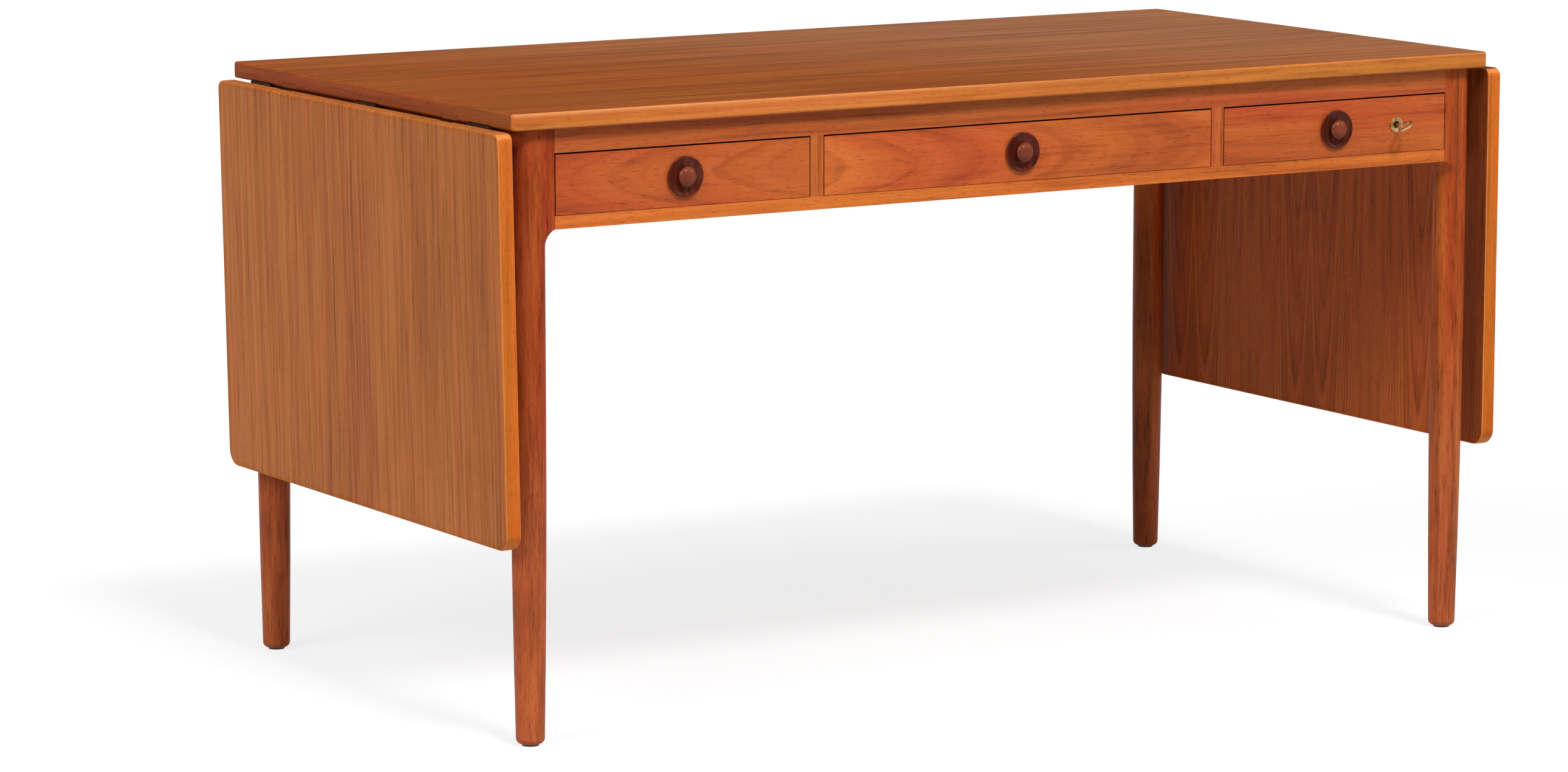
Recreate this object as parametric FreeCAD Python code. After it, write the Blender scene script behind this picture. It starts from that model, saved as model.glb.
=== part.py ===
import FreeCAD
import Part
import math
import os

# Drop-leaf writing desk in teak, in millimetres.
# X runs along the desk, Y from front to back and Z up.
# The origin is on the floor under the middle of the top. Both leaves hang.

V = FreeCAD.Vector

# Desk top
DESK_HEIGHT = 720.0
TOP_LENGTH = 1365.0
TOP_DEPTH = 700.0
TOP_THICKNESS = 19.5
LIPPING_WIDTH = 6.0
EDGE_ROUND = 3.0
CORNER_ROUND = 7.0

# Under frame
FRONT_SETBACK = 10.5
END_SETBACK = 12.5
APRON_HEIGHT = 113.5
RAIL_THICKNESS = 22.0
TOP_RAIL_HEIGHT = 28.0
BOTTOM_RAIL_HEIGHT = 15.0
TENON_LENGTH = 18.0
TENON_THICKNESS = 9.0
TENON_SHOULDER = 3.0
CENTRE_OPENING = 546.0
PARTITION_THICKNESS = 17.5

# Legs
LEG_BLOCK = 45.0
LEG_RADIUS = 20.3
FOOT_RADIUS = 16.5
FOOT_ROUND = 6.5
TAPER_TOP = 380.0
BLEND_HEIGHT = 20.0
BLOCK_ARRIS = 0.6
BLEND_INSET = 0.05
BLEND_STEPS = 8
GLIDE_RADIUS = 9.8
GLIDE_THICKNESS = 2.0
GLIDE_PIN_RADIUS = 1.5
GLIDE_PIN_LENGTH = 14.0

# Drawers
DRAWER_BACK_SPACE = 137.0
DRAWER_SIDE_GAP = 1.2
DRAWER_TOP_GAP = 1.9
DRAWER_BOTTOM_GAP = 0.6
RUNNING_GAP = 0.3
DRAWER_FRONT_THICKNESS = 18.0
DRAWER_SIDE_THICKNESS = 10.0
DRAWER_SIDE_STEP = 4.0
DRAWER_BACK_THICKNESS = 9.0
DRAWER_BACK_INSET = 6.0
DRAWER_BOTTOM_THICKNESS = 4.0
GROOVE_HEIGHT = 6.0
GROOVE_DEPTH = 4.0
GROOVE_FIT = 0.2
TAIL_COUNT = 3
TAIL_LENGTH = 12.0
TAIL_ROOT = 9.0
TAIL_TIP = 13.0
RUNNER_WIDTH = 14.0
STOP_LENGTH = 20.0
STOP_HEIGHT = 12.0

# Knobs
KNOB_RADIUS = 23.25
KNOB_FOOT_RADIUS = 20.0
KNOB_BACK_BULGE = 0.5
KNOB_RIM_HEIGHT = 4.2
KNOB_RIM_ROUND = 1.5
KNOB_DISH_DEPTH = 2.2
KNOB_DISH_HOLLOW = 0.9
KNOB_NECK_RADIUS = 8.4
KNOB_NECK_HOLLOW = 0.8
KNOB_BUTTON_RADIUS = 11.6
KNOB_BUTTON_START = 5.2
KNOB_BUTTON_BULGE = 1.0
KNOB_BUTTON_RIM = 7.4
KNOB_DOME_BULGE = 2.1
KNOB_HEIGHT = 13.0
SPIGOT_RADIUS = 5.0
SPIGOT_LENGTH = 14.0

# Leaves and their hinges
LEAF_LENGTH = 470.0
LEAF_CORNER = 20.0
LEAF_HINGE_CORNER = 10.0
LEAF_GAP = 0.5
LEFT_LEAF_LEAN = 1.0
HINGE_DROP = 1.0
HINGE_END_DISTANCE = 80.0
HINGE_LENGTH = 51.0
KNUCKLE_COUNT = 3
HINGE_WIDTH = 24.0
HINGE_PLATE = 1.5
KNUCKLE_RADIUS = 2.75
KNUCKLE_GAP = 0.3
BARREL_ROOM = 0.4
HINGE_PIN_RADIUS = 1.4
PIN_FIT = 0.05
HINGE_SCREW_INSET = 9.0
HINGE_SCREW_SPACING = 17.0

# Lopers: flat bars that slide out of the top to carry a raised leaf
LOPER_END_DISTANCE = 150.0
LOPER_WIDTH = 35.0
LOPER_THICKNESS = 5.0
LOPER_LENGTH = 330.0
LOPER_TRAVEL = 120.0
LOPER_SETBACK = 0.5
LOPER_FIT = 0.3
LOPER_END_ROOM = 8.0
GUIDE_INSET = 92.5
GUIDE_SPACING = 60.0
GUIDE_RADIUS = 3.0
GUIDE_HEAD_RADIUS = 6.0
GUIDE_HEAD_HEIGHT = 2.0
GUIDE_HEAD_GAP = 0.2
GUIDE_THREAD_RADIUS = 2.0
GUIDE_THREAD_LENGTH = 8.0

# Screws
SMALL_SCREW_RADIUS = 1.5
SMALL_SCREW_HEAD = 3.0
SMALL_SCREW_LENGTH = 12.0
FIXING_RADIUS = 2.0
FIXING_HEAD = 4.0
FIXING_HEAD_HEIGHT = 2.5
FIXING_BITE = 10.0
FIXING_INSET = 62.0

# Lock and key in the right drawer
LOCK_FROM_EDGE = 75.0
CASE_WIDTH = 34.0
CASE_DEPTH = 10.0
CASE_WALL = 1.2
CASE_BELOW = 14.0
LOCK_PLATE = 1.5
LOCK_PLATE_MARGIN = 8.0
LOCK_SCREW_RADIUS = 1.1
LOCK_SCREW_HEAD = 2.2
LOCK_SCREW_HEAD_HEIGHT = 1.1
LOCK_SCREW_LENGTH = 9.0
LOCK_SCREW_RISE = 10.0
BOLT_WIDTH = 18.0
BOLT_THICKNESS = 4.0
BOLT_FOOT = 4.0
BOLT_SETBACK = 0.6
BOLT_FIT = 0.3
PLUG_RADIUS = 4.5
PLUG_FIT = 0.05
FLANGE_RADIUS = 7.0
CAM_RADIUS = 5.0
CAM_PIN_RADIUS = 1.1
CAM_START = 45.0
CAM_ROOM = 0.5
ESCUTCHEON_RADIUS = 9.3
ESCUTCHEON_THICKNESS = 1.0
STRIKE_THICKNESS = 1.2
STRIKE_LENGTH = 34.0
STRIKE_WIDTH = 12.0
STRIKE_DEPTH = 9.0
KEY_SHAFT_RADIUS = 1.75
KEY_FIT = 0.05
KEY_INSERTION = 8.0
KEY_REACH = 26.5
KEY_BIT_HEIGHT = 3.6
KEY_BIT_LENGTH = 4.0
KEY_BIT_THICKNESS = 1.6
KEY_BIT_ROOM = 0.3
BOW_WIDTH = 21.0
BOW_LENGTH = 16.0
BOW_WIRE = 3.0
BOW_THICKNESS = 2.4
BOW_TURN = -30.0
COLLAR_RADIUS = 2.8
COLLAR_LENGTH = 3.0

# How near two places are to count as one
CLOSE = 1e-6

# Planes that several pieces share
top_end = TOP_LENGTH / 2
top_front = TOP_DEPTH / 2
underside = DESK_HEIGHT - TOP_THICKNESS
face_x = top_end - END_SETBACK
face_y = top_front - FRONT_SETBACK
back_x = face_x - RAIL_THICKNESS
back_y = face_y - RAIL_THICKNESS
leg_x = face_x - LEG_RADIUS
leg_y = face_y - LEG_RADIUS
seam_x = face_x - LEG_BLOCK
seam_y = face_y - LEG_BLOCK
apron_bottom = underside - APRON_HEIGHT
drawer_floor = apron_bottom + BOTTOM_RAIL_HEIGHT
drawer_ceiling = underside - TOP_RAIL_HEIGHT
centre_edge = CENTRE_OPENING / 2
side_edge = centre_edge + PARTITION_THICKNESS
axis_z = underside - HINGE_DROP
leaf_in = top_end + HINGE_DROP
leaf_out = leaf_in + TOP_THICKNESS
leaf_top = axis_z - LEAF_GAP
leaf_bottom = leaf_top - LEAF_LENGTH
drawer_end = back_y - DRAWER_BACK_SPACE

pieces = {}


def box(x0, x1, y0, y1, z0, z1):
    return Part.makeBox(x1 - x0, y1 - y0, z1 - z0, V(x0, y0, z0))


def rod_y(radius, x, z, y0, y1):
    return Part.makeCylinder(radius, y1 - y0, V(x, y0, z), V(0, 1, 0))


def fused(solids):
    whole = solids[0]
    for solid in solids[1:]:
        whole = whole.fuse(solid)
    return whole.removeSplitter()


def group(solids):
    return Part.makeCompound(solids)


def mirror_x(shape):
    return shape.mirror(V(0, 0, 0), V(1, 0, 0))


def mirror_y(shape):
    return shape.mirror(V(0, 0, 0), V(0, 1, 0))


def both_ends(shape):
    return [mirror_x(shape), shape]


def edges_along(shape, direction, where=None):
    """Straight edges of a shape along a direction, kept by a test of their middle point."""
    found = []
    for edge in shape.Edges:
        run = edge.Vertexes[-1].Point.sub(edge.Vertexes[0].Point)
        straight = run.Length > CLOSE and abs(run.normalize().dot(direction)) > 1 - CLOSE
        if straight and (where is None or where(edge.CenterOfMass)):
            found.append(edge)
    return found


def edges_in_plane(shape, direction, level):
    """Edges whose whole length lies in the plane at a level along a direction."""
    return [e for e in shape.Edges
            if all(abs(v.Point.dot(direction) - level) < CLOSE for v in e.Vertexes)]


def path(start, steps):
    """Closed wire in the XZ plane: a step of one point is a line, of two an arc through the first."""
    edges = []
    here = start
    for step in steps + [(start,)]:
        a = V(here[0], 0, here[1])
        b = V(step[-1][0], 0, step[-1][1])
        if len(step) == 1:
            edges.append(Part.LineSegment(a, b).toShape())
        else:
            middle = V(step[0][0], 0, step[0][1])
            edges.append(Part.Arc(a, middle, b).toBSpline().toShape())
        here = step[-1]
    return Part.Wire(edges)


def bowed(start, end, bulge):
    """Step of a turned profile: an arc from start to end that swells outward, or hollows if negative."""
    run = V(end[0] - start[0], end[1] - start[1], 0)
    middle = ((start[0] + end[0]) / 2 + bulge * run.y / run.Length,
              (start[1] + end[1]) / 2 - bulge * run.x / run.Length)
    return middle, end


def turned(start, steps):
    """Solid turned about the Z axis from a profile of (radius, height) points."""
    return Part.Face(path(start, steps)).revolve(V(0, 0, 0), V(0, 0, 1), 360)


def screw(base, direction, radius, head_radius, head_height, length):
    """Countersunk screw: the head's flat is at base and the point lies along direction."""
    head = Part.makeCone(head_radius, radius, head_height, base, direction)
    shank = Part.makeCylinder(radius, length, base, direction)
    return head.fuse(shank).removeSplitter()


def rail_along_x(y0, y1, z0, z1):
    """Rail between two leg blocks, with a tenon at each end."""
    middle = (y0 + y1) / 2
    reach = seam_x + TENON_LENGTH
    body = box(-seam_x, seam_x, y0, y1, z0, z1)
    tenons = box(-reach, reach, middle - TENON_THICKNESS / 2, middle + TENON_THICKNESS / 2,
                 z0 + TENON_SHOULDER, z1 - TENON_SHOULDER)
    return fused([body, tenons])


def make_rails():
    front_top = rail_along_x(-face_y, -back_y, drawer_ceiling, underside)
    front_bottom = rail_along_x(-face_y, -back_y, apron_bottom, drawer_floor)
    rear = rail_along_x(back_y, face_y, apron_bottom, underside)
    middle = (back_x + face_x) / 2
    reach = seam_y + TENON_LENGTH
    end = fused([
        box(back_x, face_x, -seam_y, seam_y, apron_bottom, underside),
        box(middle - TENON_THICKNESS / 2, middle + TENON_THICKNESS / 2, -reach, reach,
            apron_bottom + TENON_SHOULDER, underside - TENON_SHOULDER),
    ])
    pieces["front_top_rail"] = front_top
    pieces["front_bottom_rail"] = front_bottom
    pieces["rear_apron"] = rear
    pieces["left_end_rail"] = mirror_x(end)
    pieces["right_end_rail"] = end


def leg_section(height, reach, outer_radius, inner_radius):
    """Section of the leg block about the leg's axis: the outer corner is round, the others less so."""
    far = outer_radius
    corners = [(far, far, outer_radius), (-reach, far, inner_radius),
               (-reach, -reach, inner_radius), (far, -reach, inner_radius)]
    edges = []
    last = None
    first = None
    for index, (x, y, radius) in enumerate(corners):
        turn = math.radians(90 * index)
        centre = V(x - math.copysign(radius, x), y - math.copysign(radius, y), height)
        points = [centre + V(radius * math.cos(turn + part), radius * math.sin(turn + part), 0)
                  for part in (0, math.pi / 4, math.pi / 2)]
        if last is not None:
            edges.append(Part.LineSegment(last, points[0]).toShape())
        else:
            first = points[0]
        edges.append(Part.Arc(*points).toShape())
        last = points[2]
    edges.append(Part.LineSegment(last, first).toShape())
    return Part.Wire(edges)


def make_leg():
    """Rear right leg: turned shaft, square block with a round outer corner, and the blend between."""
    shoulder = GLIDE_THICKNESS + FOOT_ROUND
    round_centre = FOOT_RADIUS - FOOT_ROUND
    slant = FOOT_ROUND * math.sqrt(0.5)
    quarter = (LEG_RADIUS - FOOT_RADIUS) / 4
    blend_bottom = apron_bottom - BLEND_HEIGHT
    shaft = turned((0, GLIDE_THICKNESS), [
        ((round_centre, GLIDE_THICKNESS),),
        ((round_centre + slant, shoulder - slant), (FOOT_RADIUS, shoulder)),
        ((LEG_RADIUS - quarter, (shoulder + TAPER_TOP) / 2), (LEG_RADIUS, TAPER_TOP)),
        ((LEG_RADIUS, blend_bottom),),
        ((0, blend_bottom),),
    ])
    inner = LEG_BLOCK - LEG_RADIUS
    sections = []
    for step in range(BLEND_STEPS + 1):
        turn = math.pi / 2 * step / BLEND_STEPS
        share = math.sin(turn)
        reach = LEG_RADIUS + (inner - LEG_RADIUS) * (1 - math.cos(turn))
        radius = LEG_RADIUS + (BLOCK_ARRIS - LEG_RADIUS) * share ** 2
        inset = BLEND_INSET * (1 - share)
        height = blend_bottom + BLEND_HEIGHT * share
        sections.append(leg_section(height, reach - inset, LEG_RADIUS - inset, radius - 2 * inset))
    blend = Part.makeLoft(sections, True, True)
    block = Part.Face(sections[-1]).extrude(V(0, 0, APRON_HEIGHT))
    leg = fused([shaft, blend, block])
    leg.translate(V(leg_x, leg_y, 0))
    return leg


def make_legs():
    leg = make_leg()
    corners = {
        "rear_right_leg": leg,
        "rear_left_leg": mirror_x(leg),
        "front_right_leg": mirror_y(leg),
        "front_left_leg": mirror_x(mirror_y(leg)),
    }
    glide = fused([
        Part.makeCylinder(GLIDE_RADIUS, GLIDE_THICKNESS, V(leg_x, leg_y, 0)),
        Part.makeCylinder(GLIDE_PIN_RADIUS, GLIDE_PIN_LENGTH, V(leg_x, leg_y, 0)),
    ])
    glides = [glide, mirror_x(glide), mirror_y(glide), mirror_x(mirror_y(glide))]
    rails = [pieces[name] for name in ("front_top_rail", "front_bottom_rail", "rear_apron",
                                       "left_end_rail", "right_end_rail")]
    for name, blank in corners.items():
        pieces[name] = blank.cut(group(rails + glides))
    pieces["foot_glides"] = group(glides)


def make_inner_frame():
    """Partitions, runners, guides, kickers and stops that carry the drawers."""
    partition = fused([
        box(centre_edge, side_edge, -back_y, back_y, apron_bottom, underside),
        box(centre_edge, side_edge, -face_y, -back_y, drawer_floor, drawer_ceiling),
    ])
    pieces["left_partition"] = mirror_x(partition)
    pieces["right_partition"] = partition
    lanes = [centre_edge - RUNNER_WIDTH, side_edge, seam_x - RUNNER_WIDTH]
    runners = []
    kickers = []
    stops = []
    fixings = []
    for x in lanes:
        runners += both_ends(box(x, x + RUNNER_WIDTH, -back_y, back_y, apron_bottom, drawer_floor))
        stop_start = drawer_end + RUNNING_GAP
        stops += both_ends(box(x, x + RUNNER_WIDTH, stop_start, stop_start + STOP_LENGTH,
                               drawer_floor, drawer_floor + STOP_HEIGHT))
        kicker = box(x, x + RUNNER_WIDTH, -back_y, back_y, drawer_ceiling, underside)
        for y in (FIXING_INSET - back_y, back_y - FIXING_INSET):
            fixing = screw(V(x + RUNNER_WIDTH / 2, y, drawer_ceiling), V(0, 0, 1), FIXING_RADIUS,
                           FIXING_HEAD, FIXING_HEAD_HEIGHT, TOP_RAIL_HEIGHT + FIXING_BITE)
            kicker = kicker.cut(fixing)
            fixings += both_ends(fixing)
        kickers += both_ends(kicker)
    guide = box(seam_x, back_x, -seam_y, seam_y, apron_bottom, drawer_ceiling)
    pieces["drawer_runners"] = group(runners)
    pieces["drawer_stops"] = group(stops)
    pieces["drawer_kickers"] = group(kickers)
    pieces["drawer_guides"] = group(both_ends(guide))
    pieces["top_fixing_screws"] = group(fixings)


def hinge_places():
    outer = top_front - HINGE_END_DISTANCE
    return (-outer, 0.0, outer)


def knuckle_zone(y, radius, start, end):
    """Cylinder about the hinge axis over part of a hinge's length, for trimming."""
    return rod_y(radius, top_end, axis_z, y + start, y + end)


def make_hinges():
    """Right-hand hinges: the top plate has the two outer knuckles, the leaf plate the middle one."""
    half = HINGE_LENGTH / 2
    middle_half = HINGE_LENGTH / KNUCKLE_COUNT / 2
    room = KNUCKLE_RADIUS + KNUCKLE_GAP
    top_plates = []
    leaf_plates = []
    pins = []
    top_screws = []
    leaf_screws = []
    for y in hinge_places():
        barrel = knuckle_zone(y, KNUCKLE_RADIUS, -half, half)
        pin = knuckle_zone(y, HINGE_PIN_RADIUS, -half, half)
        bore = knuckle_zone(y, HINGE_PIN_RADIUS + PIN_FIT, -half, half)
        top_plate = fused([
            box(top_end - HINGE_WIDTH, top_end, y - half, y + half, underside, underside + HINGE_PLATE),
            barrel,
        ])
        cleared = middle_half + KNUCKLE_GAP
        top_plate = top_plate.cut(knuckle_zone(y, room, -cleared, cleared))
        top_plate = top_plate.cut(pin)
        leaf_plate = fused([
            box(leaf_in, leaf_in + HINGE_PLATE, y - half, y + half, axis_z - HINGE_WIDTH, axis_z),
            barrel,
        ])
        leaf_plate = leaf_plate.cut(knuckle_zone(y, room, -half, -middle_half))
        leaf_plate = leaf_plate.cut(knuckle_zone(y, room, middle_half, half))
        leaf_plate = leaf_plate.cut(bore)
        for offset in (-HINGE_SCREW_SPACING, 0.0, HINGE_SCREW_SPACING):
            inset = HINGE_WIDTH - HINGE_SCREW_INSET
            up = screw(V(top_end - inset, y + offset, underside), V(0, 0, 1), SMALL_SCREW_RADIUS,
                       SMALL_SCREW_HEAD, HINGE_PLATE, SMALL_SCREW_LENGTH)
            out = screw(V(leaf_in, y + offset, axis_z - inset), V(1, 0, 0), SMALL_SCREW_RADIUS,
                        SMALL_SCREW_HEAD, HINGE_PLATE, SMALL_SCREW_LENGTH)
            top_plate = top_plate.cut(up)
            leaf_plate = leaf_plate.cut(out)
            top_screws.append(up)
            leaf_screws.append(out)
        top_plates.append(top_plate)
        leaf_plates.append(leaf_plate)
        pins.append(pin)
    add_both_ends("hinge_top_plates", top_plates)
    add_both_ends("hinge_pins", pins)
    add_both_ends("hinge_top_screws", top_screws)
    add_each_side("leaf_hinge_plates", leaf_plates)
    add_each_side("leaf_hinge_screws", leaf_screws)


def add_both_ends(name, right_solids):
    """One node that holds the right-hand solids and their mirror images."""
    pieces[name] = group(right_solids + [mirror_x(solid) for solid in right_solids])


def add_each_side(name, right_solids):
    """A left and a right node of the leaves, from the right-hand solids. The left one leans in a little."""
    left = mirror_x(group(right_solids))
    left.rotate(V(-top_end, 0, axis_z), V(0, 1, 0), -LEFT_LEAF_LEAN)
    pieces["right_" + name] = group(right_solids)
    pieces["left_" + name] = left


def hinge_recesses():
    """Room for the right-hand hinges in the top and in the leaf."""
    half = HINGE_LENGTH / 2
    room = half + BARREL_ROOM
    cuts = []
    for y in hinge_places():
        cuts.append(knuckle_zone(y, KNUCKLE_RADIUS + BARREL_ROOM, -room, room))
        cuts.append(box(top_end - HINGE_WIDTH, top_end, y - half, y + half,
                        underside, underside + HINGE_PLATE))
        cuts.append(box(leaf_in, leaf_in + HINGE_PLATE, y - half, y + half, axis_z - HINGE_WIDTH, axis_z))
    return cuts


def loper_places():
    outer = top_front - LOPER_END_DISTANCE
    return (-outer, outer)


def make_lopers():
    """Right-hand lopers, one to the front and one to the rear, with two guide screws each."""
    tip = top_end - LOPER_SETBACK
    low = underside + LOPER_FIT
    slot_half = GUIDE_RADIUS + LOPER_FIT
    outer_guide = top_end - GUIDE_INSET
    inner_guide = outer_guide - GUIDE_SPACING
    head_top = low - GUIDE_HEAD_GAP
    ceiling = low + LOPER_THICKNESS + LOPER_FIT
    guides = []
    for y, place in zip(loper_places(), ("front", "rear")):
        bar = box(tip - LOPER_LENGTH, tip, y - LOPER_WIDTH / 2, y + LOPER_WIDTH / 2,
                  low, low + LOPER_THICKNESS)
        slot_start = inner_guide - LOPER_TRAVEL
        slot = fused([
            box(slot_start, outer_guide, y - slot_half, y + slot_half, low, low + LOPER_THICKNESS),
            Part.makeCylinder(slot_half, LOPER_THICKNESS, V(slot_start, y, low)),
            Part.makeCylinder(slot_half, LOPER_THICKNESS, V(outer_guide, y, low)),
        ])
        bar = bar.cut(slot)
        pieces[place + "_right_loper"] = bar
        pieces[place + "_left_loper"] = mirror_x(bar)
        for x in (outer_guide, inner_guide):
            guides.append(fused([
                Part.makeCylinder(GUIDE_HEAD_RADIUS, GUIDE_HEAD_HEIGHT,
                                  V(x, y, head_top - GUIDE_HEAD_HEIGHT)),
                Part.makeCylinder(GUIDE_RADIUS, ceiling - head_top, V(x, y, head_top)),
                Part.makeCylinder(GUIDE_THREAD_RADIUS, GUIDE_THREAD_LENGTH, V(x, y, ceiling)),
            ]))
    add_both_ends("loper_guide_screws", guides)


def loper_grooves():
    """Grooves for the right-hand lopers, in the underside of the top and in the leaf's inner face."""
    depth = LOPER_THICKNESS + 2 * LOPER_FIT
    half = LOPER_WIDTH / 2 + LOPER_FIT
    start = top_end - LOPER_SETBACK - LOPER_LENGTH - LOPER_FIT
    reach = LOPER_TRAVEL - LOPER_SETBACK - LEAF_GAP + LOPER_END_ROOM
    cuts = []
    for y in loper_places():
        cuts.append(box(start, top_end, y - half, y + half, underside, underside + depth))
        cuts.append(box(leaf_in, leaf_in + depth, y - half, y + half, leaf_top - reach, leaf_top))
    return cuts


def make_top():
    full = box(-top_end, top_end, -top_front, top_front, underside, DESK_HEIGHT)
    full = full.makeFillet(CORNER_ROUND, edges_along(full, V(0, 0, 1)))
    rims = edges_in_plane(full, V(0, 0, 1), underside) + edges_in_plane(full, V(0, 0, 1), DESK_HEIGHT)
    full = full.makeFillet(EDGE_ROUND, rims)
    inner_x = top_end - LIPPING_WIDTH
    inner_y = top_front - LIPPING_WIDTH
    core = box(-inner_x, inner_x, -inner_y, inner_y, underside, DESK_HEIGHT)
    right_cuts = hinge_recesses() + loper_grooves()
    screws = [pieces[name] for name in ("hinge_top_screws", "loper_guide_screws", "top_fixing_screws")]
    cuts = group(right_cuts + [mirror_x(cut) for cut in right_cuts] + screws)
    pieces["top_panel"] = core.cut(cuts)
    rim = full.cut(core)
    front = rim.common(box(-top_end, top_end, -top_front, -inner_y, underside, DESK_HEIGHT))
    end = rim.common(box(inner_x, top_end, -inner_y, inner_y, underside, DESK_HEIGHT))
    pieces["top_front_lipping"] = front.cut(cuts)
    pieces["top_rear_lipping"] = mirror_y(front).cut(cuts)
    pieces["top_end_lippings"] = group(both_ends(end.cut(cuts)))


def make_leaves():
    """Right leaf as it hangs, and its mirror image. The lippings meet at mitres in the free corners."""
    full = box(leaf_in, leaf_out, -top_front, top_front, leaf_bottom, leaf_top)
    middle = (leaf_top + leaf_bottom) / 2
    full = full.makeFillet(LEAF_CORNER, edges_along(full, V(1, 0, 0), lambda p: p.z < middle))
    hinge_corners = edges_along(full, V(1, 0, 0), lambda p: p.z > leaf_top - CLOSE)
    full = full.makeFillet(LEAF_HINGE_CORNER, hinge_corners)
    rims = edges_in_plane(full, V(1, 0, 0), leaf_in) + edges_in_plane(full, V(1, 0, 0), leaf_out)
    full = full.makeFillet(EDGE_ROUND, rims)
    inner_y = top_front - LIPPING_WIDTH
    inner_top = leaf_top - LIPPING_WIDTH
    core = box(leaf_in, leaf_out, -inner_y, inner_y, leaf_bottom + LIPPING_WIDTH, inner_top)
    core = core.makeFillet(LEAF_CORNER - LIPPING_WIDTH,
                           edges_along(core, V(1, 0, 0), lambda p: p.z < middle))
    cuts = group(hinge_recesses() + loper_grooves() + [pieces["right_leaf_hinge_screws"]])
    rim = full.cut(core)
    deep = LEAF_CORNER + LIPPING_WIDTH
    mitre = Part.makePolygon([
        V(leaf_in, -top_front, leaf_bottom), V(leaf_in, top_front, leaf_bottom),
        V(leaf_in, top_front - deep, leaf_bottom + deep), V(leaf_in, deep - top_front, leaf_bottom + deep),
        V(leaf_in, -top_front, leaf_bottom),
    ])
    below = Part.Face(mitre).extrude(V(TOP_THICKNESS, 0, 0))
    joint_edge = rim.common(box(leaf_in, leaf_out, -top_front, top_front, inner_top, leaf_top))
    free_edge = rim.common(below)
    rear_edge = rim.common(box(leaf_in, leaf_out, inner_y - deep, top_front, leaf_bottom, inner_top))
    upright = rear_edge.cut(below)
    lippings = [joint_edge.cut(cuts), free_edge, upright, mirror_y(upright)]
    add_each_side("leaf_panel", [core.cut(cuts)])
    add_each_side("leaf_lippings", lippings)


def make_knob(x, z):
    """Turned knob: a dished saucer with a domed button in its middle and a spigot behind."""
    foot = (KNOB_FOOT_RADIUS, 0)
    rim_side = (KNOB_RADIUS, KNOB_RIM_HEIGHT - KNOB_RIM_ROUND)
    rim_top = (KNOB_RADIUS - KNOB_RIM_ROUND, KNOB_RIM_HEIGHT)
    rim_bulge = KNOB_RIM_ROUND * (1 - math.sqrt(0.5))
    neck_foot = (KNOB_NECK_RADIUS, KNOB_RIM_HEIGHT - KNOB_DISH_DEPTH)
    neck_head = (KNOB_NECK_RADIUS, KNOB_BUTTON_START)
    button = (KNOB_BUTTON_RADIUS, KNOB_BUTTON_RIM)
    knob = turned((0, -SPIGOT_LENGTH), [
        ((SPIGOT_RADIUS, -SPIGOT_LENGTH),),
        ((SPIGOT_RADIUS, 0),),
        (foot,),
        bowed(foot, rim_side, KNOB_BACK_BULGE),
        bowed(rim_side, rim_top, rim_bulge),
        bowed(rim_top, neck_foot, -KNOB_DISH_HOLLOW),
        bowed(neck_foot, neck_head, -KNOB_NECK_HOLLOW),
        bowed(neck_head, button, KNOB_BUTTON_BULGE),
        bowed(button, (0, KNOB_HEIGHT), KNOB_DOME_BULGE),
    ])
    knob.rotate(V(0, 0, 0), V(1, 0, 0), 90)
    knob.translate(V(x, -face_y, z))
    return knob


def tails(x0, x1, low, high, root):
    """Dovetail tails on the front end of a drawer side."""
    pitch = (high - low) / TAIL_COUNT
    solids = []
    for index in range(TAIL_COUNT):
        z = low + pitch * (index + 0.5)
        outline = Part.makePolygon([
            V(x0, root, z - TAIL_ROOT / 2), V(x0, root, z + TAIL_ROOT / 2),
            V(x0, root - TAIL_LENGTH, z + TAIL_TIP / 2), V(x0, root - TAIL_LENGTH, z - TAIL_TIP / 2),
            V(x0, root, z - TAIL_ROOT / 2),
        ])
        solids.append(Part.Face(outline).extrude(V(x1 - x0, 0, 0)))
    return solids


def make_drawer(name, x0, x1, lock_cuts):
    """Drawer for the opening between x0 and x1, with its front flush with the rails."""
    left = x0 + DRAWER_SIDE_GAP
    right = x1 - DRAWER_SIDE_GAP
    low = drawer_floor + DRAWER_BOTTOM_GAP
    high = drawer_ceiling - DRAWER_TOP_GAP
    root = DRAWER_FRONT_THICKNESS - face_y
    end = drawer_end
    side_low = drawer_floor + RUNNING_GAP
    side_high = high - DRAWER_SIDE_STEP
    inner_left = left + DRAWER_SIDE_THICKNESS
    inner_right = right - DRAWER_SIDE_THICKNESS
    back_end = end - DRAWER_BACK_INSET
    groove_low = side_low + GROOVE_HEIGHT
    groove_high = groove_low + DRAWER_BOTTOM_THICKNESS
    bottom = box(inner_left - GROOVE_DEPTH, inner_right + GROOVE_DEPTH, root - GROOVE_DEPTH, back_end,
                 groove_low, groove_high)
    groove = box(inner_left - GROOVE_DEPTH - GROOVE_FIT, inner_right + GROOVE_DEPTH + GROOVE_FIT,
                 root - GROOVE_DEPTH - GROOVE_FIT, end, groove_low, groove_high)
    front = box(left, right, -face_y, root, low, high)
    sides = []
    for a, b in ((left, inner_left), (inner_right, right)):
        dovetails = tails(a, b, low, side_high, root)
        front = front.cut(group(dovetails))
        sides.append(fused([box(a, b, root, end, side_low, side_high)] + dovetails).cut(groove))
    knob = make_knob((x0 + x1) / 2, (low + high) / 2)
    front = front.cut(group([groove, knob] + lock_cuts))
    pieces[name + "_drawer_front"] = front
    pieces[name + "_drawer_sides"] = group(sides)
    pieces[name + "_drawer_back"] = box(inner_left, inner_right, back_end - DRAWER_BACK_THICKNESS, back_end,
                                        groove_high, side_high)
    pieces[name + "_drawer_bottom"] = bottom
    pieces[name + "_drawer_knob"] = knob


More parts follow.
